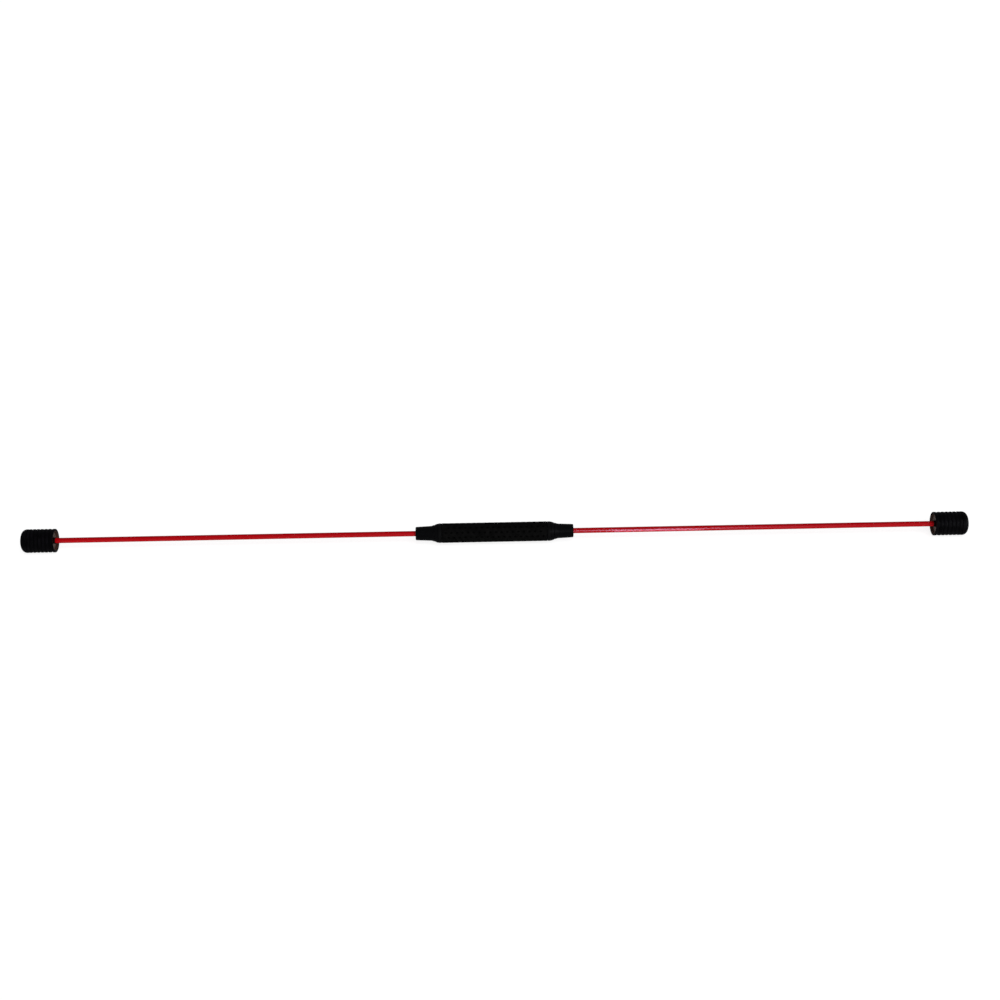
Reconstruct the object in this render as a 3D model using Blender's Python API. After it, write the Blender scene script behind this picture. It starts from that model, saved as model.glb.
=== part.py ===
"""A flexible swing bar: one springy glass-fibre rod with a rubber hand grip and two ribbed end weights.

Metres, +Z up. The rod lies along X, and the origin is the middle of the grip, on the rod's axis.
Nearly every piece is turned about the rod, so it is drawn as an outline of (x, radius) points.
A piece of the right half and its twin of the left half share one outline, with x counted outwards.
"""

import math

import bmesh
import bpy
from mathutils import Matrix, Vector

# ---------------------------------------------------------------- driving dimensions
TOTAL_LENGTH = 1.600
ROD_RADIUS = 0.0045
GRIP_LENGTH = 0.267
GRIP_RADIUS = 0.0166
WEIGHT_LENGTH = 0.0566
WEIGHT_RADIUS = 0.0200

FIT = 0.0003          # gap between pieces that touch, bond or press together on the real bar
SIDES = 24            # flats round every turned piece, with one of them lowest

# ---------------------------------------------------------------- along the grip, from its middle
SLEEVE_END = 0.0890
RING_WIDTH = 0.0060
RING_RADIUS = 0.0165
RING_SHOULDER_RADIUS = 0.0158
CONE_START = SLEEVE_END + FIT + RING_WIDTH + FIT
CONE_END = 0.1068
COLLAR_END = GRIP_LENGTH / 2
COLLAR_SHOULDER_RADIUS = 0.01245
COLLAR_END_RADIUS = 0.01125
CONE_GROOVE_WIDTH = 0.0014
CONE_GROOVE_DEPTH = 0.0006

CORE_RADIUS = 0.0110
CORE_NECK_RADIUS = 0.0086
CORE_NECK_START = CONE_START - FIT
CORE_END = 0.1240
BUSH_FLANGE_WIDTH = 0.0037
BUSH_NOSE_RADIUS = 0.0064

PEG_RADIUS = 0.0015
PEG_LENGTH = 0.0030
PEG_X = 0.060
PEG_Z = 0.00775

# ---------------------------------------------------------------- along a weight, from its inner face
WEIGHT_START = TOTAL_LENGTH / 2 - WEIGHT_LENGTH
RIM_WIDTH = 0.0040
RIM_EDGE = 0.0008
FIRST_RIB = 0.0098
RIB_COUNT = 6
RIB_PITCH = 0.0065
RIB_HEIGHT = 0.0008
RIB_CREST = 0.0032
RIB_FLANK = 0.0008
NOSE_ROUND = 0.0085
NOSE_STEPS = 5

RECESS_RADIUS = 0.0170
CUP_LIP = 0.0005
CUP_WALL = 0.0011
CUP_FLOOR = 0.0042
CUP_FLOOR_THICKNESS = 0.0022
BOOT_START = 0.0002
BOOT_RADIUS = 0.0053
BOOT_FLANGE_RADIUS = 0.0078
BOOT_FLANGE_WIDTH = 0.0010
RECESS_DEPTH = CUP_FLOOR + CUP_FLOOR_THICKNESS + FIT
SLUG_START = RECESS_DEPTH + FIT
SLUG_LENGTH = 0.0385
SLUG_RADIUS = 0.0134
SLUG_EDGE = 0.0006
FERRULE_RADIUS = 0.0062
FERRULE_HEAD_RADIUS = 0.0085
FERRULE_HEAD = 0.0027
ROD_IN_WEIGHT = 0.0406
SCREW_X = SLUG_START + SLUG_LENGTH / 2
SCREW_RADIUS = 0.0025
SCREW_SOCKET_RADIUS = 0.0014
SCREW_SOCKET_DEPTH = 0.0028

# ---------------------------------------------------------------- how the rod bends
# A rod held in the grip and pushed at its weight bends as if it turned about a point a third of
# the way along its free length, so each weight hangs on a pivot there.
FLEX_X = COLLAR_END + (TOTAL_LENGTH / 2 - WEIGHT_LENGTH / 2 - COLLAR_END) / 3

LEFT, RIGHT = -1, 1
SIDE_NAMES = {LEFT: "left", RIGHT: "right"}


# ---------------------------------------------------------------- tools
def clear_scene():
    for obj in list(bpy.data.objects):
        bpy.data.objects.remove(obj, do_unlink=True)


def finish_material(name, colour, roughness, metallic=0.0):
    mat = bpy.data.materials.new(name)
    mat.use_nodes = True
    shader = mat.node_tree.nodes["Principled BSDF"]
    shader.inputs["Base Color"].default_value = (*colour, 1.0)
    shader.inputs["Roughness"].default_value = roughness
    shader.inputs["Metallic"].default_value = metallic
    mat.diffuse_color = (*colour, 1.0)
    return mat


def new_object(name, bm, mat, parent=None, location=(0.0, 0.0, 0.0)):
    bmesh.ops.remove_doubles(bm, verts=bm.verts, dist=1e-6)
    bmesh.ops.recalc_face_normals(bm, faces=bm.faces)
    mesh = bpy.data.meshes.new(name)
    bm.to_mesh(mesh)
    bm.free()
    mesh.shade_smooth()
    mesh.set_sharp_from_angle(angle=math.radians(35))
    obj = bpy.data.objects.new(name, mesh)
    if mat:
        mesh.materials.append(mat)
    obj.location = location
    obj.parent = parent
    bpy.context.scene.collection.objects.link(obj)
    return obj


def spun(outline, side, turn=2 * math.pi, start=math.pi / SIDES):
    """The outline's points spun about X. Radii are to the middle of a flat."""
    bm = bmesh.new()
    to_corner = 1 / math.cos(math.pi / SIDES)
    first = Matrix.Rotation(start, 3, "X")
    points = [bm.verts.new(first @ Vector((side * x, 0.0, radius * to_corner))) for x, radius in outline]
    pairs = list(zip(points, points[1:]))
    on_axis = outline[0][1] == 0.0 and outline[-1][1] == 0.0
    if not on_axis:
        pairs.append((points[-1], points[0]))
    edges = [bm.edges.new(pair) for pair in pairs]
    whole = math.isclose(turn, 2 * math.pi)
    if not whole:
        bm.faces.new(points)
    steps = round(SIDES * turn / (2 * math.pi))
    spin = bmesh.ops.spin(
        bm, geom=points + edges, cent=(0.0, 0.0, 0.0), axis=(1.0, 0.0, 0.0),
        angle=turn, steps=steps, use_merge=whole, use_duplicate=False,
    )
    if not whole:
        last = [item for item in spin["geom_last"] if isinstance(item, bmesh.types.BMEdge)]
        bmesh.ops.contextual_create(bm, geom=last)
    return bm


def turned(name, outline, mat, side=RIGHT, parent=None, location=(0.0, 0.0, 0.0)):
    return new_object(name, spun(outline, side), mat, parent, location)


def cylinder_cutter(name, radius, low, high, place, corners=16):
    """A round cutter about the local Z axis, from height low to high."""
    bm = bmesh.new()
    middle = Matrix.Translation((0.0, 0.0, (low + high) / 2))
    bmesh.ops.create_cone(
        bm, cap_ends=True, segments=corners, radius1=radius, radius2=radius, depth=high - low, matrix=middle,
    )
    cutter = new_object(name, bm, None)
    cutter.matrix_world = place
    cutter.hide_render = True
    cutter.display_type = "WIRE"
    return cutter


def boolean(obj, tool, operation):
    cut = obj.modifiers.new(tool.name, "BOOLEAN")
    cut.object = tool
    cut.operation = operation


# ---------------------------------------------------------------- rod
def make_rod():
    """One rod, from ferrule to ferrule, right through the grip."""
    end = WEIGHT_START + ROD_IN_WEIGHT
    edge = 0.0004
    outline = [
        (-end, 0.0), (-end, ROD_RADIUS - edge), (-end + edge, ROD_RADIUS),
        (end - edge, ROD_RADIUS), (end, ROD_RADIUS - edge), (end, 0.0),
    ]
    turned("rod", outline, finish_material("red_glass_fibre", (0.42, 0.004, 0.012), 0.22))


# ---------------------------------------------------------------- grip
def core_outline():
    """The hard barrel under the sleeve, with a thinner neck at each end for the collars."""
    bore = ROD_RADIUS + FIT
    right_half = [
        (CORE_NECK_START, CORE_RADIUS), (CORE_NECK_START, CORE_NECK_RADIUS), (CORE_END, CORE_NECK_RADIUS),
        (CORE_END, bore),
    ]
    left_half = [(-x, radius) for x, radius in reversed(right_half)]
    return left_half + right_half


def make_core_half(name, y_side, mat):
    """Half of the barrel, split along the rod and held a hair off the split."""
    start = 0.0 if y_side < 0 else math.pi
    half = new_object(name, spun(core_outline(), RIGHT, turn=math.pi, start=start), mat)
    half.location.y = y_side * FIT / 2
    return half


def make_core():
    """Two moulded halves that close round the rod. Pegs of the front half sit in the rear half."""
    mat = finish_material("core_nylon", (0.10, 0.10, 0.11), 0.5)
    front = make_core_half("grip_core_front", -1, mat)
    rear = make_core_half("grip_core_rear", 1, mat)
    along_y = Matrix.Rotation(-math.pi / 2, 4, "X")
    for side in (LEFT, RIGHT):
        place = Matrix.Translation((side * PEG_X, 0.0, side * PEG_Z)) @ along_y
        label = SIDE_NAMES[side]
        peg = cylinder_cutter(f"{label}_peg", PEG_RADIUS, -PEG_LENGTH / 2, PEG_LENGTH, place)
        boolean(front, peg, "UNION")
        socket = cylinder_cutter(
            f"{label}_socket", PEG_RADIUS + FIT, -PEG_LENGTH, PEG_LENGTH + 2 * FIT, place,
        )
        boolean(rear, socket, "DIFFERENCE")


def make_sleeve():
    """The soft tube that the hands hold."""
    bore = CORE_RADIUS + FIT * 2
    edge = 0.0008
    right_half = [(SLEEVE_END - edge, GRIP_RADIUS), (SLEEVE_END, GRIP_RADIUS - edge), (SLEEVE_END, bore)]
    left_half = [(-x, radius) for x, radius in reversed(right_half)]
    mat = finish_material("sleeve_rubber", (0.012, 0.012, 0.013), 0.55)
    turned("grip_sleeve", left_half + right_half, mat)


def make_ring(side):
    """A round-backed ring that closes the gap between the sleeve and the collar."""
    bore = CORE_RADIUS + FIT * 2
    start = SLEEVE_END + FIT
    half = RING_WIDTH / 2
    rise = RING_RADIUS - RING_SHOULDER_RADIUS
    steps = 6
    back = []
    for step in range(steps + 1):
        angle = math.pi * (1 - step / steps)
        back.append((start + half + half * math.cos(angle), RING_SHOULDER_RADIUS + rise * math.sin(angle)))
    outline = [(start, bore), *back, (start + RING_WIDTH, bore)]
    mat = finish_material("ring_rubber", (0.015, 0.015, 0.016), 0.4)
    turned(f"{SIDE_NAMES[side]}_grip_ring", outline, mat, side)


def make_collar(side):
    """The smooth end of the grip: a short cone with one groove, then a slim taper down to the rod."""
    neck_bore = CORE_NECK_RADIUS + FIT * 2
    nose_bore = BUSH_NOSE_RADIUS + FIT
    lip_start = CORE_END + FIT + BUSH_FLANGE_WIDTH + FIT
    cone_top = GRIP_RADIUS - 0.0003
    slope = (COLLAR_SHOULDER_RADIUS - cone_top) / (CONE_END - CONE_START)
    groove = (CONE_START + CONE_END) / 2
    edge = 0.0012

    def cone(x):
        return cone_top + slope * (x - CONE_START)

    groove_low = groove - CONE_GROOVE_WIDTH / 2
    groove_high = groove + CONE_GROOVE_WIDTH / 2
    outline = [
        (CONE_START, neck_bore), (CONE_START, cone_top),
        (groove_low, cone(groove_low)), (groove, cone(groove) - CONE_GROOVE_DEPTH),
        (groove_high, cone(groove_high)), (CONE_END, COLLAR_SHOULDER_RADIUS),
        (COLLAR_END - edge, COLLAR_END_RADIUS), (COLLAR_END - edge * 0.3, COLLAR_END_RADIUS - edge * 0.3),
        (COLLAR_END, COLLAR_END_RADIUS - edge),
        (COLLAR_END, nose_bore), (lip_start, nose_bore), (lip_start, neck_bore),
    ]
    mat = finish_material("collar_rubber", (0.013, 0.013, 0.016), 0.42)
    turned(f"{SIDE_NAMES[side]}_grip_collar", outline, mat, side)


def make_bush(side):
    """A soft bush that keeps the bending rod off the hard core. The collar's lip holds its flange."""
    bore = ROD_RADIUS + FIT
    start = CORE_END + FIT
    step = start + BUSH_FLANGE_WIDTH
    outline = [
        (start, bore), (start, CORE_NECK_RADIUS), (step, CORE_NECK_RADIUS), (step, BUSH_NOSE_RADIUS),
        (COLLAR_END, BUSH_NOSE_RADIUS), (COLLAR_END, bore),
    ]
    mat = finish_material("bush_rubber", (0.02, 0.02, 0.02), 0.6)
    turned(f"{SIDE_NAMES[side]}_rod_bush", outline, mat, side)


# ---------------------------------------------------------------- end weights
def shell_outline():
    """A thick rubber body: rounded nose, ribbed side, square rim, recess for the cup, blind bore."""
    valley = WEIGHT_RADIUS - RIB_HEIGHT
    nose_start = WEIGHT_LENGTH - NOSE_ROUND
    nose = []
    for step in range(NOSE_STEPS + 1):
        angle = math.pi / 2 * step / NOSE_STEPS
        nose.append((
            nose_start + NOSE_ROUND * math.cos(angle), WEIGHT_RADIUS - NOSE_ROUND * (1 - math.sin(angle)),
        ))
    ribs = []
    for rib in reversed(range(RIB_COUNT)):
        middle = FIRST_RIB + rib * RIB_PITCH
        crest = RIB_CREST / 2
        foot = crest + RIB_FLANK
        ribs += [
            (middle + foot, valley), (middle + crest, WEIGHT_RADIUS),
            (middle - crest, WEIGHT_RADIUS), (middle - foot, valley),
        ]
    rim = [
        (RIM_WIDTH + RIM_EDGE, valley), (RIM_WIDTH, WEIGHT_RADIUS), (RIM_EDGE, WEIGHT_RADIUS),
        (0.0, WEIGHT_RADIUS - RIM_EDGE), (0.0, RECESS_RADIUS),
    ]
    bore = SLUG_RADIUS + FIT
    floor = SLUG_START + SLUG_LENGTH + FIT
    hollow = [(RECESS_DEPTH, RECESS_RADIUS), (RECESS_DEPTH, bore), (floor, bore), (floor, 0.0)]
    return [(WEIGHT_LENGTH, 0.0), *nose, *ribs, *rim, *hollow]


def make_shell(side, pivot, place):
    mat = finish_material("weight_rubber", (0.012, 0.012, 0.013), 0.5)
    turned(f"{SIDE_NAMES[side]}_weight_shell", shell_outline(), mat, side, pivot, place)


def make_face_cup(side, pivot, place):
    """The shallow cup set in the weight's inner end, with a pocket behind its floor for the boot's flange."""
    bore = BOOT_RADIUS + FIT
    radius = RECESS_RADIUS - FIT
    edge = 0.0004
    back = CUP_FLOOR + CUP_FLOOR_THICKNESS
    pocket = back - BOOT_FLANGE_WIDTH
    pocket_radius = BOOT_FLANGE_RADIUS + FIT
    outline = [
        (CUP_FLOOR, bore), (CUP_FLOOR, radius - CUP_WALL), (CUP_LIP + edge, radius - CUP_WALL),
        (CUP_LIP, radius - CUP_WALL + edge), (CUP_LIP, radius), (back, radius),
        (back, pocket_radius), (pocket, pocket_radius), (pocket, bore),
    ]
    mat = finish_material("cup_plastic", (0.055, 0.045, 0.040), 0.5)
    turned(f"{SIDE_NAMES[side]}_weight_face_cup", outline, mat, side, pivot, place)


def make_boot(side, pivot, place):
    """The rubber boot that keeps the bending rod off the weight's metal. The cup's floor holds its flange."""
    bore = ROD_RADIUS + FIT
    back = CUP_FLOOR + CUP_FLOOR_THICKNESS
    step = back - BOOT_FLANGE_WIDTH + FIT
    edge = 0.0002
    outline = [
        (BOOT_START, bore), (BOOT_START, BOOT_RADIUS - edge), (BOOT_START + edge, BOOT_RADIUS),
        (step, BOOT_RADIUS), (step, BOOT_FLANGE_RADIUS), (back, BOOT_FLANGE_RADIUS), (back, bore),
    ]
    mat = finish_material("boot_rubber", (0.010, 0.010, 0.010), 0.6)
    turned(f"{SIDE_NAMES[side]}_rod_boot", outline, mat, side, pivot, place)


def make_slug(side, pivot, place):
    """The steel mass, bored for the ferrule, counterbored for its head and drilled for the screw."""
    bore = FERRULE_RADIUS + FIT
    end = SLUG_START + SLUG_LENGTH
    step = SLUG_START + FIT + ferrule_length() - FERRULE_HEAD - FIT
    outline = [
        (SLUG_START, bore), (SLUG_START, SLUG_RADIUS - SLUG_EDGE), (SLUG_START + SLUG_EDGE, SLUG_RADIUS),
        (end - SLUG_EDGE, SLUG_RADIUS), (end, SLUG_RADIUS - SLUG_EDGE),
        (end, FERRULE_HEAD_RADIUS + FIT), (step, FERRULE_HEAD_RADIUS + FIT), (step, bore),
    ]
    mat = finish_material("slug_steel", (0.42, 0.42, 0.43), 0.4, 1.0)
    label = SIDE_NAMES[side]
    slug = turned(f"{label}_weight_slug", outline, mat, side, pivot, place)
    axis_point = Matrix.Translation((pivot.location.x + place[0] + side * SCREW_X, 0.0, 0.0))
    hole = cylinder_cutter(f"{label}_screw_hole", SCREW_RADIUS + FIT, ROD_RADIUS, 2 * SLUG_RADIUS, axis_point)
    boolean(slug, hole, "DIFFERENCE")


def ferrule_length():
    return SLUG_LENGTH - 2 * FIT


def make_ferrule(side, pivot, place):
    """The headed metal cup bonded on the rod's end. Its head stops the slug from flying off."""
    start = SLUG_START + FIT
    end = start + ferrule_length()
    head = end - FERRULE_HEAD
    bore = ROD_RADIUS + FIT
    bore_end = ROD_IN_WEIGHT + FIT
    outline = [
        (end, 0.0), (end, FERRULE_HEAD_RADIUS), (head, FERRULE_HEAD_RADIUS), (head, FERRULE_RADIUS),
        (start, FERRULE_RADIUS), (start, bore), (bore_end, bore), (bore_end, 0.0),
    ]
    mat = finish_material("ferrule_brass", (0.60, 0.45, 0.18), 0.35, 1.0)
    turned(f"{SIDE_NAMES[side]}_rod_ferrule", outline, mat, side, pivot, place)


def make_set_screw(side, pivot, place):
    """The grub screw that locks the slug to the ferrule, with a hexagon socket in its outer end."""
    low = FERRULE_RADIUS + FIT
    high = SLUG_RADIUS - FIT
    label = SIDE_NAMES[side]
    bm = bmesh.new()
    bmesh.ops.create_cone(
        bm, cap_ends=True, segments=16, radius1=SCREW_RADIUS, radius2=SCREW_RADIUS, depth=high - low,
    )
    mat = finish_material("screw_steel", (0.12, 0.12, 0.13), 0.35, 1.0)
    centre = Vector((place[0] + side * SCREW_X, 0.0, (low + high) / 2))
    screw = new_object(f"{label}_set_screw", bm, mat, pivot, centre)
    top = Matrix.Translation((pivot.location.x + centre.x, 0.0, high))
    socket = cylinder_cutter(
        f"{label}_hex_socket", SCREW_SOCKET_RADIUS, -SCREW_SOCKET_DEPTH, SCREW_RADIUS, top, corners=6,
    )
    boolean(screw, socket, "DIFFERENCE")


def make_weight(side):
    pivot = bpy.data.objects.new(f"{SIDE_NAMES[side]}_flex_axis", None)
    pivot.location.x = side * FLEX_X
    bpy.context.scene.collection.objects.link(pivot)
    place = (side * (WEIGHT_START - FLEX_X), 0.0, 0.0)
    make_shell(side, pivot, place)
    make_face_cup(side, pivot, place)
    make_boot(side, pivot, place)
    make_slug(side, pivot, place)
    make_ferrule(side, pivot, place)
    make_set_screw(side, pivot, place)


# ---------------------------------------------------------------- the whole bar
def main():
    clear_scene()
    make_rod()
    make_core()
    make_sleeve()
    for side in (LEFT, RIGHT):
        make_ring(side)
        make_collar(side)
        make_bush(side)
        make_weight(side)


main()
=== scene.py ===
"""The looks of the flexible swing bar: its detailed pieces, materials, floor, lights and camera.

Metres, +Z up. The rod lies along X, with the middle of the grip at the origin.
Turned pieces are drawn as outlines of (x, radius) points, with x counted outwards from the middle of
the bar, so that a piece of the right half and its twin of the left half share one outline.
"""

import math

import bmesh
import bpy
import numpy as np
from mathutils import Matrix, Vector


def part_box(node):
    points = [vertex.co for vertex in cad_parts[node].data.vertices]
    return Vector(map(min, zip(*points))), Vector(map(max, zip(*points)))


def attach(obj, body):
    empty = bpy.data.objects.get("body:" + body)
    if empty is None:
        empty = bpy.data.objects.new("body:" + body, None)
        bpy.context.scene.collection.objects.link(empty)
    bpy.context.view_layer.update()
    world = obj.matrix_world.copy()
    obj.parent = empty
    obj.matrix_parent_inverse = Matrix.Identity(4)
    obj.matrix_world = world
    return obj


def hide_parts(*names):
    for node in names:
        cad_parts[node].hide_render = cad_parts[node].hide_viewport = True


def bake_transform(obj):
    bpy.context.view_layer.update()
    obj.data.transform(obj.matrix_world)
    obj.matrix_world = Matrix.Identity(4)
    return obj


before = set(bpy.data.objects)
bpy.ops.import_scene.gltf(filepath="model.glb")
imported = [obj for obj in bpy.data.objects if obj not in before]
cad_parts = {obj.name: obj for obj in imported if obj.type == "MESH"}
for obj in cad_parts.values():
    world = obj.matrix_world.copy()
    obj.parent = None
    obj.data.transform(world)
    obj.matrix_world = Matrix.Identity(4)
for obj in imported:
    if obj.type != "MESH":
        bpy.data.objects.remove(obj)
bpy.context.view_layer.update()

MM = 0.001
LEFT, RIGHT = -1, 1
SIDE_NAMES = {LEFT: "left", RIGHT: "right"}

# ---------------------------------------------------------------- places along the bar, from the frame
SLEEVE_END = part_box("grip_sleeve")[1].x
RING_START, RING_END = (corner.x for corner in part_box("right_grip_ring"))
CONE_START, GRIP_END = (corner.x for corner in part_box("right_grip_collar"))
BUSH_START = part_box("right_rod_bush")[0].x
WEIGHT_START, WEIGHT_END = (corner.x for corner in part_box("right_weight_shell"))
ROD_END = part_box("rod")[1].x

# ---------------------------------------------------------------- sizes of the grip, as in the CAD
FIT = 0.0003
ROD_RADIUS = 0.0045
CORE_RADIUS = 0.0110
CORE_NECK_RADIUS = 0.0086
GRIP_RADIUS = 0.0166
RING_RADIUS = 0.0165
RING_SHOULDER_RADIUS = 0.0158
CONE_END = 0.1068
COLLAR_SHOULDER_RADIUS = 0.01245
COLLAR_END_RADIUS = 0.01125
BUSH_FLANGE_WIDTH = 0.0037
BUSH_NOSE_RADIUS = 0.0064

# ---------------------------------------------------------------- sizes of a weight, from its rim inwards
WEIGHT_LENGTH = WEIGHT_END - WEIGHT_START
WEIGHT_RADIUS = 0.0200
FIRST_RIB = 0.0098
RIB_PITCH = 0.0065
RIB_COUNT = 6
RIB_HEIGHT = 0.0008
RIM_WIDTH = 0.0040
NOSE_ROUND = 0.0085
RECESS_RADIUS = 0.0170
RECESS_DEPTH = 0.0067
SLUG_BORE_RADIUS = 0.0137
SLUG_BORE_FLOOR = 0.0458
CUP_LIP = 0.0005
CUP_WALL = 0.0011
CUP_FLOOR = 0.0042
CUP_BACK = 0.0064
BOOT_START = 0.0002
BOOT_RADIUS = 0.0053
BOOT_FLANGE_RADIUS = 0.0078
BOOT_FLANGE_WIDTH = 0.0010

# ---------------------------------------------------------------- detail that only the looks have
LATHE_SIDES = 96
DIMPLE_PITCH = 0.0094
DIMPLE_ROWS = 12
DIMPLE_SIDES = 14          # flats of the sleeve for each row of dimples
DIMPLE_HALF_LENGTH = 0.0027
DIMPLE_HALF_WIDTH = 0.0021
DIMPLE_DEPTH = 0.00075
GROOVE_DEPTH = 0.0007
GROOVE_HALF_WIDTH = 0.0009
RIM_EDGE = 0.0007
RIB_CREST = 0.0012         # half widths of a rib, at its crest and at its foot
RIB_FOOT = 0.0026
COLLAR_SEAM = 0.00045      # half widths and heights of the mould seams
COLLAR_SEAM_HEIGHT = 0.00006
WEIGHT_SEAM = 0.0005
WEIGHT_SEAM_HEIGHT = 0.00008

# The rod's bend is spread over this stretch, with the flex joint in its middle.
FLEX_SOFT_START = 0.216
FLEX_SOFT_END = 0.476


# ---------------------------------------------------------------- outlines
def arc(centre_x, centre_r, radius, start, end, steps):
    """Points on a round corner. Angles are in degrees, 0 outwards along x and 90 away from the rod."""
    points = []
    for step in range(steps + 1):
        angle = math.radians(start + (end - start) * step / steps)
        points.append((centre_x + radius * math.cos(angle), centre_r + radius * math.sin(angle)))
    return points


def smooth(low, high, value):
    """Rises smoothly from 0 at low to 1 at high."""
    t = np.clip((np.asarray(value, float) - low) / (high - low), 0.0, 1.0)
    return t * t * (3 - 2 * t)


def seam_angles(radius, half_width):
    """Even steps round the rod, with closer ones at the two mould seams, at the front and at the back."""
    angles = [2 * math.pi * step / LATHE_SIDES for step in range(LATHE_SIDES)]
    near = half_width / radius
    for seam in (math.pi, 2 * math.pi):
        angles += [seam + near * share for share in (-1.0, -0.5, 0.5, 1.0)]
    return np.array(sorted({round(angle % (2 * math.pi), 6) for angle in angles}))


def seam_ridge(angles, radius, half_width):
    """How far the seam's ridge stands out at each angle, from 0 to 1."""
    away = np.abs((angles + math.pi / 2) % math.pi - math.pi / 2) * radius
    return 1 - smooth(0.0, half_width, away)


# ---------------------------------------------------------------- meshes
def mesh_object(name, verts, faces, smooth_angle):
    bm = bmesh.new()
    points = [bm.verts.new(vert) for vert in verts]
    for face in faces:
        bm.faces.new([points[index] for index in face])
    bmesh.ops.recalc_face_normals(bm, faces=bm.faces)
    mesh = bpy.data.meshes.new(name)
    bm.to_mesh(mesh)
    bm.free()
    mesh.shade_smooth()
    mesh.set_sharp_from_angle(angle=math.radians(smooth_angle))
    obj = bpy.data.objects.new(name, mesh)
    bpy.context.scene.collection.objects.link(obj)
    return obj


def lathe(name, outline, side=RIGHT, sides=LATHE_SIDES, angles=None, relief=None, smooth_angle=35.0):
    """A closed body turned about the rod.

    An outline that starts on the axis makes a solid, and any other makes a tube.
    relief(x, radius, angles) gives the radii that a point of the outline takes at those angles.
    """
    if angles is None:
        angles = np.linspace(0.0, 2 * math.pi, sides, endpoint=False)
    count = len(angles)
    verts, rows = [], []
    for x, radius in outline:
        if radius == 0.0:
            rows.append([len(verts)] * count)
            verts.append((side * x, 0.0, 0.0))
            continue
        reach = np.full(count, radius) if relief is None else relief(x, radius, angles)
        rows.append(list(range(len(verts), len(verts) + count)))
        verts += list(zip(np.full(count, side * x), reach * np.cos(angles), reach * np.sin(angles)))
    if outline[0][1] > 0.0:
        rows.append(rows[0])
    faces = []
    for low, high in zip(rows, rows[1:]):
        for j in range(count):
            k = (j + 1) % count
            corners = [low[j], low[k], high[k], high[j]]
            faces.append(list(dict.fromkeys(corners)))
    return mesh_object(name, verts, faces, smooth_angle)


# ---------------------------------------------------------------- material graphs
class Finish:
    """One material, which starts as a Principled shader, with short ways to add its nodes."""

    def __init__(self, name, **sockets):
        self.material = bpy.data.materials.new(name)
        self.material.use_nodes = True
        self.nodes = self.material.node_tree.nodes
        self.links = self.material.node_tree.links
        self.shader = self.nodes["Principled BSDF"]
        for socket, value in sockets.items():
            self.shader.inputs[socket.replace("_", " ")].default_value = value

    def node(self, kind, inputs=None, **settings):
        node = self.nodes.new("ShaderNode" + kind)
        for key, value in settings.items():
            setattr(node, key, value)
        for key, value in (inputs or {}).items():
            if isinstance(value, bpy.types.NodeSocket):
                self.links.new(value, node.inputs[key])
            else:
                node.inputs[key].default_value = value
        return node

    def place(self):
        return self.node("TexCoord").outputs["Object"]

    def stretch(self, vector, scale):
        return self.node("Mapping", {"Vector": vector, "Scale": scale}).outputs["Vector"]

    def noise(self, vector, scale, detail=2.0, roughness=0.5):
        values = {"Vector": vector, "Scale": scale, "Detail": detail, "Roughness": roughness}
        return self.node("TexNoise", values).outputs["Fac"]

    def cells(self, vector, scale):
        return self.node("TexVoronoi", {"Vector": vector, "Scale": scale}).outputs["Distance"]

    def math(self, operation, first, second=0.0):
        return self.node("Math", {0: first, 1: second}, operation=operation).outputs[0]

    def spread(self, value, from_low, from_high, to_low=0.0, to_high=1.0):
        values = {
            "Value": value,
            "From Min": from_low,
            "From Max": from_high,
            "To Min": to_low,
            "To Max": to_high,
        }
        return self.node("MapRange", values).outputs["Result"]

    def mix(self, share, first, second):
        node = self.node("Mix", data_type="RGBA")
        for key, value in (("Factor", share), ("A", first), ("B", second)):
            socket = next(s for s in node.inputs if s.name == key and s.enabled)
            if isinstance(value, bpy.types.NodeSocket):
                self.links.new(value, socket)
            elif key == "Factor":
                socket.default_value = value
            else:
                socket.default_value = (*value, 1.0)
        return next(s for s in node.outputs if s.enabled)

    def axis_distance(self, vector):
        """How far a point is from the rod's axis, in metres."""
        parts = self.node("SeparateXYZ", {"Vector": vector})
        y = self.math("MULTIPLY", parts.outputs["Y"], parts.outputs["Y"])
        z = self.math("MULTIPLY", parts.outputs["Z"], parts.outputs["Z"])
        return self.math("SQRT", self.math("ADD", y, z))

    def bump(self, height, distance, strength=1.0, below=None):
        values = {"Height": height, "Distance": distance, "Strength": strength}
        if below is not None:
            values["Normal"] = below
        return self.node("Bump", values).outputs["Normal"]

    def wire(self, **sockets):
        for socket, value in sockets.items():
            self.links.new(value, self.shader.inputs[socket.replace("_", " ")])
        return self.material


def glass_fibre_red():
    """Clear-coated pultruded rod: deep red resin with long, faint fibre strands under a thin gloss."""
    finish = Finish(
        "glass_fibre_red", IOR=1.5, Specular_IOR_Level=0.06,
        Coat_Weight=0.30, Coat_Roughness=0.24, Coat_IOR=1.45,
    )
    deep, bright, even = (0.345, 0.0004, 0.0022), (0.565, 0.0010, 0.0060), (0.400, 0.0005, 0.0028)
    place = finish.node("Attribute", attribute_name="rest_place").outputs["Vector"]
    strands = finish.noise(finish.stretch(place, (6.0, 2600.0, 2600.0)), 1.0, 3.0, 0.6)
    batches = finish.noise(finish.stretch(place, (9.0, 260.0, 260.0)), 1.0, 2.0)
    streaks = finish.noise(finish.stretch(place, (40.0, 700.0, 700.0)), 1.0)
    base = finish.mix(finish.spread(strands, 0.30, 0.72), deep, bright)
    base = finish.mix(finish.spread(batches, 0.35, 0.70, 0.0, 0.25), base, even)
    roughness = finish.spread(streaks, 0.3, 0.7, 0.30, 0.40)
    normal = finish.bump(strands, 0.00004, 0.5)
    return finish.wire(Base_Color=base, Roughness=roughness, Normal=normal)


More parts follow.
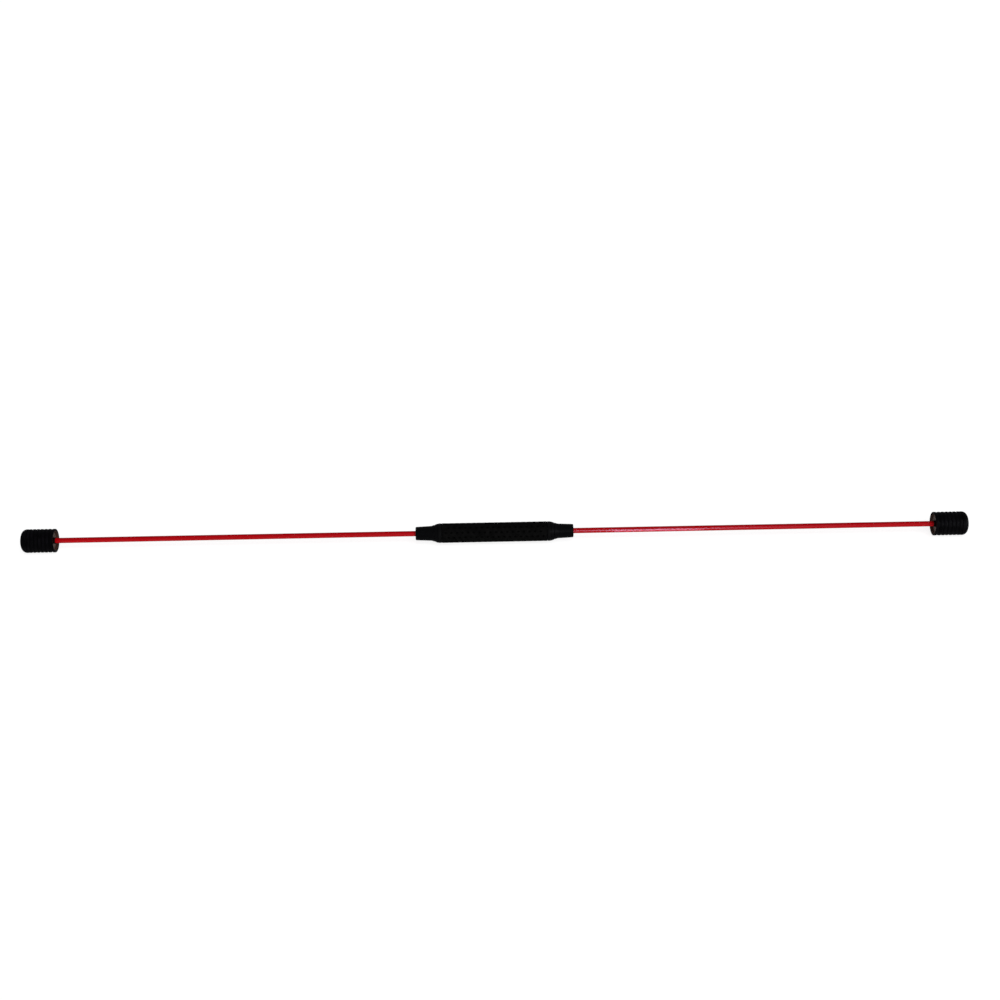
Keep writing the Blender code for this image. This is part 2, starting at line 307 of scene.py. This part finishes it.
def rubber(name, colour, worn, valley, crest, rough, specular, grain, grain_depth):
    """Moulded dark rubber with a fine grain, a touch paler where hands and floors rub it.

    The rubbing grows from nothing at the radius valley to its full strength at the radius crest.
    """
    finish = Finish(name, IOR=1.5, Specular_IOR_Level=specular)
    place = finish.place()
    grit = finish.noise(place, grain, 3.0, 0.6)
    blotches = finish.noise(place, 95.0, 3.0, 0.55)
    rub = finish.spread(finish.axis_distance(place), valley, crest)
    rub = finish.math("MULTIPLY", rub, finish.spread(blotches, 0.38, 0.66))
    base = finish.mix(finish.spread(grit, 0.35, 0.70), colour, tuple(c * 1.7 for c in colour))
    base = finish.mix(finish.math("MULTIPLY", rub, 0.8), base, worn)
    roughness = finish.spread(blotches, 0.3, 0.7, rough - 0.05, rough + 0.06)
    normal = finish.bump(grit, grain_depth, 0.55)
    normal = finish.bump(blotches, 0.00025, 0.25, normal)
    return finish.wire(Base_Color=base, Roughness=roughness, Normal=normal)


def grip_rubber():
    """The sleeve's soft rubber: a fine pebbled skin between the dimples."""
    finish = Finish("grip_rubber", IOR=1.5, Specular_IOR_Level=0.05)
    place = finish.place()
    pebbles = finish.cells(place, 1150.0)
    grit = finish.noise(place, 2600.0, 2.0)
    blotches = finish.noise(place, 120.0, 3.0, 0.6)
    rub = finish.spread(finish.axis_distance(place), GRIP_RADIUS - 0.5 * MM, GRIP_RADIUS)
    base = finish.mix(finish.spread(grit, 0.35, 0.70), (0.0002, 0.0002, 0.0002), (0.0009, 0.0009, 0.0010))
    worn = finish.math("MULTIPLY", rub, finish.spread(blotches, 0.36, 0.66, 0.3, 0.9))
    base = finish.mix(worn, base, (0.0046, 0.0045, 0.0044))
    roughness = finish.spread(blotches, 0.3, 0.7, 0.52, 0.66)
    normal = finish.bump(pebbles, 0.00022, 0.7)
    normal = finish.bump(grit, 0.00006, 0.5, normal)
    return finish.wire(Base_Color=base, Roughness=roughness, Normal=normal)


def cup_plastic():
    """Warm grey moulded plastic with a fine spark-eroded speckle; painted shade darkens its recessed wall
    and its lip.
    """
    finish = Finish("face_cup_plastic", IOR=1.46, Specular_IOR_Level=0.35)
    place = finish.place()
    speckle = finish.noise(place, 1700.0, 3.0, 0.7)
    clouds = finish.noise(place, 160.0, 2.0)
    base = finish.mix(finish.spread(speckle, 0.35, 0.68), (0.120, 0.090, 0.078), (0.170, 0.130, 0.115))
    base = finish.mix(finish.spread(clouds, 0.35, 0.7, 0.0, 0.4), base, (0.105, 0.070, 0.056))
    # Painted shade: the cup's wall is darkened as if it lay in the recess's shadow, and the lip with it.
    inner = RECESS_RADIUS - FIT - CUP_WALL
    wall = finish.spread(finish.axis_distance(place), inner - 1.0 * MM, inner - 0.2 * MM)
    base = finish.mix(wall, base, (0.072, 0.040, 0.028))
    roughness = finish.spread(clouds, 0.3, 0.7, 0.46, 0.60)
    normal = finish.bump(speckle, 0.00008, 0.6)
    return finish.wire(Base_Color=base, Roughness=roughness, Normal=normal)


def moulded_nylon():
    """Glass-filled nylon, with pale fibre flecks near its skin."""
    finish = Finish("core_moulded_nylon", IOR=1.53, Specular_IOR_Level=0.4)
    place = finish.place()
    flecks = finish.noise(finish.stretch(place, (350.0, 2200.0, 2200.0)), 1.0, 2.0)
    clouds = finish.noise(place, 130.0, 2.0)
    base = finish.mix(finish.spread(flecks, 0.55, 0.75), (0.075, 0.076, 0.082), (0.150, 0.150, 0.155))
    roughness = finish.spread(clouds, 0.3, 0.7, 0.42, 0.56)
    return finish.wire(Base_Color=base, Roughness=roughness, Normal=finish.bump(flecks, 0.00004, 0.4))


def turned_metal(name, dark, bright, rough, ring_pitch):
    """Metal off a lathe: fine rings round the axis, and a little staining."""
    finish = Finish(name, Metallic=1.0)
    place = finish.place()
    rings = finish.noise(finish.stretch(place, (1.0 / ring_pitch, 25.0, 25.0)), 1.0, 2.0)
    stains = finish.noise(place, 170.0, 3.0, 0.6)
    base = finish.mix(finish.spread(stains, 0.3, 0.7), dark, bright)
    roughness = finish.spread(rings, 0.3, 0.7, rough - 0.07, rough + 0.08)
    return finish.wire(Base_Color=base, Roughness=roughness, Normal=finish.bump(rings, 0.00005, 0.6))


def glowing_white(name, strength, diffuse=0.0):
    """White that glows evenly, as a lit table does. With diffuse it also takes light and faint shadows."""
    finish = Finish(name)
    surface = finish.node("Emission", {"Color": (1.0, 1.0, 1.0, 1.0), "Strength": strength}).outputs[0]
    if diffuse:
        matt = finish.node("BsdfDiffuse", {"Color": (diffuse, diffuse, diffuse, 1.0)})
        surface = finish.node("AddShader", {0: matt.outputs[0], 1: surface}).outputs[0]
    finish.links.new(surface, finish.nodes["Material Output"].inputs["Surface"])
    finish.nodes.remove(finish.shader)
    return finish.material


# ---------------------------------------------------------------- pieces
def dress(piece, material, slot_name, *nodes):
    """Gives a piece its material and hides the CAD nodes that it stands for."""
    piece.data.materials.append(material)
    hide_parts(*nodes)


def make_rod_half(side, material):
    """Half of the rod, from the middle of the grip to its end in the weight.

    Its points are closer together where it bends. The attribute rest_place holds each point's place
    on the straight rod, so that the streaks of the material bend with it.
    """
    edge = 0.4 * MM
    low, high = FIT / 6, ROD_END
    stops = np.concatenate([
        np.linspace(low, FLEX_SOFT_START, 24)[:-1],
        np.linspace(FLEX_SOFT_START, FLEX_SOFT_END, 90)[:-1],
        np.linspace(FLEX_SOFT_END, high - edge, 34),
    ])
    outline = [(low, 0.0)] + [(x, ROD_RADIUS) for x in stops] + [(high, ROD_RADIUS - edge), (high, 0.0)]
    label = SIDE_NAMES[side]
    rod = lathe(f"{label}_rod_half", outline, side, sides=48)
    place = rod.data.attributes.new("rest_place", "FLOAT_VECTOR", "POINT")
    for point, vert in zip(place.data, rod.data.vertices):
        point.vector = vert.co
    dress(rod, material, "rod_glass_fibre", "rod")
    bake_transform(rod)
    return rod


def dimple_depth(x, angles):
    """Depth of the staggered oval dimples, from 0 to 1, at one place along the sleeve."""
    depth = np.zeros(len(angles))
    row_turn = 2 * math.pi / DIMPLE_ROWS
    columns = round(2 * SLEEVE_END / DIMPLE_PITCH)
    last_middle = SLEEVE_END - 1.6 * DIMPLE_HALF_LENGTH
    for row in range(DIMPLE_ROWS):
        across = ((angles - row * row_turn + math.pi) % (2 * math.pi) - math.pi) * GRIP_RADIUS
        stagger = 0.25 if row % 2 else -0.25
        for column in range(columns):
            middle = (column - (columns - 1) / 2 + stagger) * DIMPLE_PITCH
            along = x - middle
            if abs(along) > DIMPLE_HALF_LENGTH or abs(middle) > last_middle:
                continue
            reach = np.hypot(along / DIMPLE_HALF_LENGTH, across / DIMPLE_HALF_WIDTH)
            depth = np.maximum(depth, 1 - smooth(0.30, 1.0, reach))
    return depth


def make_sleeve():
    """The soft tube that the hands hold, moulded with rows of shallow oval dimples."""
    edge = 0.9 * MM
    bore = CORE_RADIUS + 2 * FIT
    end = SLEEVE_END
    stops = np.linspace(-end + edge, end - edge, 291)
    right_edge = arc(end - edge, GRIP_RADIUS - edge, edge, 90, 0, 5)[1:]
    left_edge = arc(-end + edge, GRIP_RADIUS - edge, edge, 180, 90, 5)[:-1]
    outline = left_edge + [(x, GRIP_RADIUS) for x in stops] + right_edge + [(end, bore), (-end, bore)]

    def relief(x, radius, angles):
        reach = np.full(len(angles), radius)
        if radius == GRIP_RADIUS:
            reach -= DIMPLE_DEPTH * dimple_depth(x, angles)
        return reach

    sides = DIMPLE_ROWS * DIMPLE_SIDES
    sleeve = lathe("sleeve_dimpled", outline, sides=sides, relief=relief, smooth_angle=60)
    dress(sleeve, grip_rubber(), "sleeve_rubber", "grip_sleeve")
    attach(sleeve, "grip")


def make_ring(side, material):
    """The round-backed ring between the sleeve and the collar."""
    middle = (RING_START + RING_END) / 2
    half = (RING_END - RING_START) / 2
    bore = CORE_RADIUS + 2 * FIT
    rise = RING_RADIUS - RING_SHOULDER_RADIUS
    steps = 16
    back = []
    for step in range(steps + 1):
        angle = math.pi * (1 - step / steps)
        back.append((middle + half * math.cos(angle), RING_SHOULDER_RADIUS + rise * math.sin(angle) ** 0.6))
    outline = [(RING_START, bore), *back, (RING_END, bore)]
    label = SIDE_NAMES[side]
    ring = lathe(f"{label}_ring_rounded", outline, side, smooth_angle=50)
    dress(ring, material, "ring_rubber", f"{label}_grip_ring")
    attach(ring, "grip")


def cone_radius(x):
    """The collar's cone, without its groove."""
    top = GRIP_RADIUS - FIT
    return top + (COLLAR_SHOULDER_RADIUS - top) * (x - CONE_START) / (CONE_END - CONE_START)


def taper_radius(x):
    """The collar's slim end, from the cone to the mouth."""
    drop = COLLAR_SHOULDER_RADIUS - COLLAR_END_RADIUS
    return COLLAR_SHOULDER_RADIUS - drop * (x - CONE_END) / (GRIP_END - CONE_END)


def make_collar(side, material):
    """The smooth end of the grip: a grooved cone, then a slim taper down to the rod."""
    top = cone_radius(CONE_START)
    neck_bore = CORE_NECK_RADIUS + 2 * FIT
    nose_bore = BUSH_NOSE_RADIUS + FIT
    step = BUSH_START + BUSH_FLANGE_WIDTH + FIT
    groove = (CONE_START + CONE_END) / 2
    edge, mouth_edge = 1.3 * MM, 0.3 * MM
    outline = [(CONE_START, neck_bore), (CONE_START, top - 0.35 * MM)]
    outline.append((CONE_START + 0.12 * MM, top - 0.1 * MM))
    for x in np.linspace(CONE_START + 0.35 * MM, CONE_END - 0.6 * MM, 40):
        dip = GROOVE_DEPTH * (1 - smooth(0.0, GROOVE_HALF_WIDTH, abs(x - groove)))
        outline.append((x, cone_radius(x) - dip))
    for share in np.linspace(0.0, 1.0, 9):
        x = CONE_END - 0.5 * MM + 2.2 * MM * share
        fillet = 0.22 * MM * math.sin(math.pi * share) * (1 - share)
        outline.append((x, max(cone_radius(x), taper_radius(x)) + fillet))
    for x in np.linspace(CONE_END + 2.0 * MM, GRIP_END - edge, 12)[1:-1]:
        outline.append((x, taper_radius(x)))
    outline += arc(GRIP_END - edge, COLLAR_END_RADIUS - edge, edge, 90, 0, 7)
    outline += arc(GRIP_END - mouth_edge, nose_bore + mouth_edge, mouth_edge, 0, -90, 3)
    outline += [(step, nose_bore), (step, neck_bore)]
    angles = seam_angles(12 * MM, COLLAR_SEAM)

    def relief(x, radius, angles):
        reach = np.full(len(angles), radius)
        if radius > neck_bore + 0.2 * MM and CONE_START + 0.3 * MM < x < GRIP_END - 0.5 * MM:
            reach += COLLAR_SEAM_HEIGHT * seam_ridge(angles, radius, COLLAR_SEAM)
        return reach

    label = SIDE_NAMES[side]
    collar = lathe(f"{label}_collar_tapered", outline, side, angles=angles, relief=relief)
    dress(collar, material, "collar_rubber", f"{label}_grip_collar")
    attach(collar, "grip")


def make_bush(side, material):
    """The soft bush round the rod, with a rounded lip that just shows in the collar's mouth."""
    bore = ROD_RADIUS + FIT
    step = BUSH_START + BUSH_FLANGE_WIDTH
    lip = GRIP_END - 0.1 * MM
    outer_round, inner_round = 0.8 * MM, 0.4 * MM
    outline = [(BUSH_START, bore), (BUSH_START, CORE_NECK_RADIUS)]
    outline += [(step, CORE_NECK_RADIUS), (step, BUSH_NOSE_RADIUS)]
    outline += arc(lip - outer_round, BUSH_NOSE_RADIUS - outer_round, outer_round, 90, 0, 6)
    outline += arc(lip - inner_round, bore + inner_round, inner_round, 0, -90, 4)
    label = SIDE_NAMES[side]
    bush = lathe(f"{label}_bush_lipped", outline, side, sides=64)
    dress(bush, material, "bush_rubber", f"{label}_rod_bush")
    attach(bush, "grip")


def on_weight(outline):
    """Moves an outline that is counted from the weight's rim to its place on the bar."""
    return [(WEIGHT_START + x, radius) for x, radius in outline]


def rib_radius(x):
    """The ribbed side's radius at x from the weight's rim. After the last rib it rises to the nose."""
    height = 0.0
    for rib in range(RIB_COUNT):
        away = abs(x - FIRST_RIB - rib * RIB_PITCH)
        height = max(height, float(1 - smooth(RIB_CREST, RIB_FOOT, away)))
    last = FIRST_RIB + (RIB_COUNT - 1) * RIB_PITCH
    height = max(height, float(smooth(last + 3.0 * MM, last + 3.8 * MM, x)))
    return WEIGHT_RADIUS + RIB_HEIGHT * (height - 1)


def make_shell(side, material):
    """A thick rubber cup: rounded nose, ribbed side, square rim and a recess for the plastic cup.

    The nose has a small dimple in its middle and a shallow moulded groove round that.
    """
    end = WEIGHT_LENGTH
    flat = WEIGHT_RADIUS - NOSE_ROUND
    sunk = 0.3 * MM
    stop = 0.25 * MM
    inner_edge, outer_edge = 0.3 * MM, 0.45 * MM
    outline = [(end - sunk, 0.0), (end - sunk, 1.3 * MM), (end - 0.05 * MM, 1.6 * MM), (end, 1.8 * MM)]
    outline += [(end, 8.4 * MM), (end - 0.2 * MM, 8.7 * MM), (end - sunk, 9.0 * MM)]
    outline += [(end - sunk, 9.5 * MM), (end - 0.2 * MM, 9.8 * MM), (end, 10.1 * MM)]
    outline += arc(end - NOSE_ROUND, flat, NOSE_ROUND, 0, 90, 20)
    side_stops = np.arange(end - NOSE_ROUND - stop, RIM_WIDTH + 1.3 * MM, -stop)
    outline += [(x, rib_radius(x)) for x in side_stops]
    valley = WEIGHT_RADIUS - RIB_HEIGHT
    outline += [(RIM_WIDTH + 0.9 * MM, valley), (RIM_WIDTH + 0.5 * MM, valley + 0.2 * MM)]
    outline += arc(RIM_WIDTH - 0.35 * MM, WEIGHT_RADIUS - outer_edge, outer_edge, 20, 90, 4)
    outline += arc(RIM_EDGE, WEIGHT_RADIUS - RIM_EDGE, RIM_EDGE, 90, 180, 5)
    outline += arc(inner_edge, RECESS_RADIUS + inner_edge, inner_edge, 180, 270, 3)
    outline += [(RECESS_DEPTH, RECESS_RADIUS), (RECESS_DEPTH, SLUG_BORE_RADIUS)]
    outline += [(SLUG_BORE_FLOOR, SLUG_BORE_RADIUS), (SLUG_BORE_FLOOR, 0.0)]
    angles = seam_angles(WEIGHT_RADIUS, WEIGHT_SEAM)

    def relief(x, radius, angles):
        reach = np.full(len(angles), radius)
        if radius > flat + 1 * MM and x > WEIGHT_START + RIM_EDGE:
            reach += WEIGHT_SEAM_HEIGHT * seam_ridge(angles, radius, WEIGHT_SEAM)
        return reach

    label = SIDE_NAMES[side]
    shell = lathe(
        f"{label}_weight_ribbed", on_weight(outline), side, angles=angles, relief=relief, smooth_angle=40,
    )
    dress(shell, material, "weight_rubber", f"{label}_weight_shell")
    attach(shell, f"{label}_end")


def make_cup(side, material):
    """The shallow cup in the weight's inner end, with one turned groove in its floor."""
    bore = BOOT_RADIUS + FIT
    outer = RECESS_RADIUS - FIT
    inner = outer - CUP_WALL
    pocket = CUP_BACK - BOOT_FLANGE_WIDTH
    pocket_radius = BOOT_FLANGE_RADIUS + FIT
    bore_edge, lip_edge = 0.2 * MM, 0.3 * MM
    floor_round, lip_round = 0.6 * MM, 0.4 * MM
    groove_floor = CUP_FLOOR + 0.25 * MM
    outline = [(CUP_FLOOR + bore_edge, bore), (CUP_FLOOR, bore + bore_edge)]
    outline += [(CUP_FLOOR, 9.6 * MM), (groove_floor, 9.9 * MM)]
    outline += [(groove_floor, 10.5 * MM), (CUP_FLOOR, 10.8 * MM)]
    outline += arc(CUP_FLOOR - floor_round, inner - floor_round, floor_round, 0, 90, 5)
    outline += arc(CUP_LIP + lip_round, inner + lip_round, lip_round, 270, 180, 5)
    outline += arc(CUP_LIP + lip_edge, outer - lip_edge, lip_edge, 180, 90, 3)
    outline += [(CUP_BACK, outer), (CUP_BACK, pocket_radius), (pocket, pocket_radius), (pocket, bore)]
    label = SIDE_NAMES[side]
    cup = lathe(f"{label}_cup_ringed", on_weight(outline), side)
    dress(cup, material, "cup_plastic", f"{label}_weight_face_cup")
    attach(cup, f"{label}_end")


def make_boot(side, material):
    """The black rubber boot round the rod, from the cup's floor to its mouth, with a rounded tip."""
    bore = ROD_RADIUS + FIT
    step = CUP_BACK - BOOT_FLANGE_WIDTH + FIT
    tip = 0.22 * MM
    outline = arc(BOOT_START + tip, bore + tip, tip, 270, 180, 3)
    outline += arc(BOOT_START + tip, BOOT_RADIUS - tip, tip, 180, 90, 3)
    outline += [(step, BOOT_RADIUS), (step, BOOT_FLANGE_RADIUS)]
    outline += [(CUP_BACK, BOOT_FLANGE_RADIUS), (CUP_BACK, bore)]
    label = SIDE_NAMES[side]
    boot = lathe(f"{label}_boot_rounded", on_weight(outline), side, sides=64)
    dress(boot, material, "boot_rubber", f"{label}_rod_boot")
    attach(boot, f"{label}_end")


def finish_inner_nodes():
    """The pieces inside the grip and the weights keep their CAD shape and get real finishes."""
    nylon = moulded_nylon()
    steel = turned_metal("slug_turned_steel", (0.36, 0.36, 0.37), (0.50, 0.50, 0.51), 0.34, 0.35 * MM)
    brass = turned_metal("ferrule_turned_brass", (0.50, 0.36, 0.14), (0.68, 0.52, 0.24), 0.30, 0.25 * MM)
    black = turned_metal("screw_black_oxide", (0.050, 0.050, 0.055), (0.085, 0.085, 0.090), 0.40, 0.50 * MM)
    finishes = {"grip_core_front": nylon, "grip_core_rear": nylon}
    for label in SIDE_NAMES.values():
        finishes[f"{label}_weight_slug"] = steel
        finishes[f"{label}_rod_ferrule"] = brass
        finishes[f"{label}_set_screw"] = black
    for name, material in finishes.items():
        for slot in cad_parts[name].material_slots:
            slot.material = material


# ---------------------------------------------------------------- the studio
FLOOR_Z = -WEIGHT_RADIUS - 0.1 * MM
FLOOR_RADIUS = 14.0

# The camera's angles are in degrees. Its roll lets the bar rise a little to the right, and its lift
# makes it look above the bar, which then lies below the picture's middle. Lens and sensor are in mm.
CAMERA_DISTANCE = 2.45
CAMERA_ELEVATION = 30.0
CAMERA_ROLL = -1.105
CAMERA_LIFT = 1.27259
CAMERA_SHIFT = 0.0055
LENS = 52.02
SENSOR = 36.0


def studio_object(name, bm, material):
    mesh = bpy.data.meshes.new(name)
    bm.to_mesh(mesh)
    bm.free()
    mesh.materials.append(material)
    obj = bpy.data.objects.new(name, mesh)
    bpy.context.scene.collection.objects.link(obj)
    return obj


def make_floor():
    """A plain pale floor that glows a little, so that shadows on it stay faint."""
    bm = bmesh.new()
    bmesh.ops.create_circle(bm, cap_ends=True, segments=96, radius=FLOOR_RADIUS)
    bmesh.ops.translate(bm, verts=bm.verts, vec=(0.0, 0.0, FLOOR_Z))
    floor = studio_object("floor", bm, glowing_white("floor_white", 0.86, 0.35))
    floor.visible_glossy = False


def make_surround():
    """The pale wall all round the studio, so that a low view has no dark horizon. It lights nothing."""
    bm = bmesh.new()
    bmesh.ops.create_uvsphere(bm, u_segments=64, v_segments=32, radius=FLOOR_RADIUS - 0.5)
    surround = studio_object("surround", bm, glowing_white("surround_white", 1.0))
    surround.visible_diffuse = False
    surround.visible_glossy = False
    surround.visible_transmission = False
    surround.visible_volume_scatter = False
    surround.visible_shadow = False


def gloss_light(name, place, aim, size, power, colour):
    """A lamp that only glints: it adds highlights and no other light. Sizes in metres, power in watts."""
    light = bpy.data.lights.new(name, "AREA")
    light.shape = "RECTANGLE"
    light.size, light.size_y = size
    light.energy = power
    light.color = colour
    lamp = bpy.data.objects.new(name, light)
    lamp.location = place
    lamp.rotation_euler = (Vector(aim) - Vector(place)).to_track_quat("-Z", "Y").to_euler()
    lamp.visible_camera = False
    lamp.visible_diffuse = False
    bpy.context.scene.collection.objects.link(lamp)
    return lamp


def light_group(name, rods, link_state):
    """A collection for light linking: INCLUDE lights only the rods, EXCLUDE everything but them."""
    group = bpy.data.collections.new(name)
    for rod in rods:
        group.objects.link(rod)
    for entry in group.collection_objects:
        entry.light_linking.link_state = link_state
    return group


def make_overhead():
    """The soft light from above that falls on everything."""
    sky = bpy.data.lights.new("soft_overhead", "SUN")
    sky.energy = 1.75
    sky.angle = math.radians(50.0)
    overhead = bpy.data.objects.new("soft_overhead", sky)
    overhead.rotation_euler = Vector((-0.30, 0.75, -0.75)).to_track_quat("-Z", "Y").to_euler()
    overhead.visible_glossy = False
    bpy.context.scene.collection.objects.link(overhead)


def make_gloss_lights(rods):
    """Lilac glints along the right half of the rod, and a neutral sheen on everything else."""
    lilac, neutral = (0.645, 0.655, 1.0), (0.92, 0.95, 1.0)
    floor_spot = Vector((0.28, -0.17, FLOOR_Z + 4.0 * MM))
    glints = [
        gloss_light("low_front_right", (0.385, -1.12, 0.27), (0.25, 0.0, 0.0), (0.20, 0.52), 18.0, lilac),
        gloss_light("floor_right", floor_spot, floor_spot + Vector((0, 0, 1)), (0.15, 0.30), 2.8, lilac),
    ]
    sheens = [
        gloss_light("soft_front_right", (0.90, -1.30, 0.50), (0.30, 0.0, 0.0), (0.90, 0.60), 2.5, neutral),
        gloss_light("far_right", (2.15, -0.36, 0.22), (0.77, 0.0, 0.0), (0.30, 0.30), 3.5, neutral),
    ]
    rods_only = light_group("rods_only", rods, "INCLUDE")
    all_but_rods = light_group("all_but_rods", rods, "EXCLUDE")
    for glint in glints:
        glint.light_linking.receiver_collection = rods_only
    for sheen in sheens:
        sheen.light_linking.receiver_collection = all_but_rods


def make_world():
    """The faint even light from all round."""
    world = bpy.data.worlds.new("studio")
    world.use_nodes = True
    background = world.node_tree.nodes["Background"]
    background.inputs["Color"].default_value = (0.93, 0.95, 1.0, 1.0)
    background.inputs["Strength"].default_value = 0.14
    bpy.context.scene.world = world


def make_camera():
    """Looks at the bar from the front and above, turned so that the bar lies where it should."""
    elevation = math.radians(CAMERA_ELEVATION)
    place = Vector((0.0, -math.cos(elevation), math.sin(elevation))) * CAMERA_DISTANCE
    look = (-place).to_track_quat("-Z", "Y").to_matrix()
    roll = Matrix.Rotation(math.radians(CAMERA_ROLL), 3, "Z")
    lift = Matrix.Rotation(math.radians(CAMERA_LIFT), 3, "X")
    data = bpy.data.cameras.new("camera")
    data.sensor_width = SENSOR
    data.lens = LENS
    data.shift_x = CAMERA_SHIFT
    data.clip_start, data.clip_end = 0.01, 100.0
    camera = bpy.data.objects.new("camera", data)
    camera.matrix_world = Matrix.Translation(place) @ (look @ roll @ lift).to_4x4()
    bpy.context.scene.collection.objects.link(camera)
    bpy.context.scene.camera = camera
    bpy.context.scene.view_settings.view_transform = "Standard"


def main():
    red = glass_fibre_red()
    weight = rubber(
        "weight_black_rubber", colour=(0.0005, 0.0004, 0.0007), worn=(0.0036, 0.0030, 0.0044),
        valley=WEIGHT_RADIUS - RIB_HEIGHT, crest=WEIGHT_RADIUS,
        rough=0.46, specular=0.10, grain=1400.0, grain_depth=0.10 * MM,
    )
    collar = rubber(
        "collar_black_rubber", colour=(0.0007, 0.0007, 0.0010), worn=(0.0022, 0.0022, 0.0028),
        valley=10.0 * MM, crest=GRIP_RADIUS,
        rough=0.40, specular=0.16, grain=2200.0, grain_depth=0.04 * MM,
    )
    ring = rubber(
        "ring_black_rubber", colour=(0.0007, 0.0007, 0.0008), worn=(0.0032, 0.0032, 0.0033),
        valley=RING_SHOULDER_RADIUS, crest=RING_RADIUS,
        rough=0.42, specular=0.18, grain=1900.0, grain_depth=0.05 * MM,
    )
    bush = rubber(
        "bush_grey_rubber", colour=(0.010, 0.010, 0.010), worn=(0.018, 0.018, 0.018),
        valley=ROD_RADIUS + FIT, crest=BUSH_NOSE_RADIUS,
        rough=0.55, specular=0.30, grain=2000.0, grain_depth=0.05 * MM,
    )
    boot = rubber(
        "boot_black_rubber", colour=(0.0010, 0.0010, 0.0010), worn=(0.0035, 0.0034, 0.0034),
        valley=BOOT_RADIUS - 0.6 * MM, crest=BOOT_RADIUS,
        rough=0.50, specular=0.20, grain=2000.0, grain_depth=0.05 * MM,
    )
    plastic = cup_plastic()
    make_sleeve()
    rods = [make_rod_half(side, red) for side in (LEFT, RIGHT)]
    for side in (LEFT, RIGHT):
        make_ring(side, ring)
        make_collar(side, collar)
        make_bush(side, bush)
        make_shell(side, weight)
        make_cup(side, plastic)
        make_boot(side, boot)
    finish_inner_nodes()
    make_floor()
    make_surround()
    make_overhead()
    make_gloss_lights(rods)
    make_world()
    make_camera()


main()
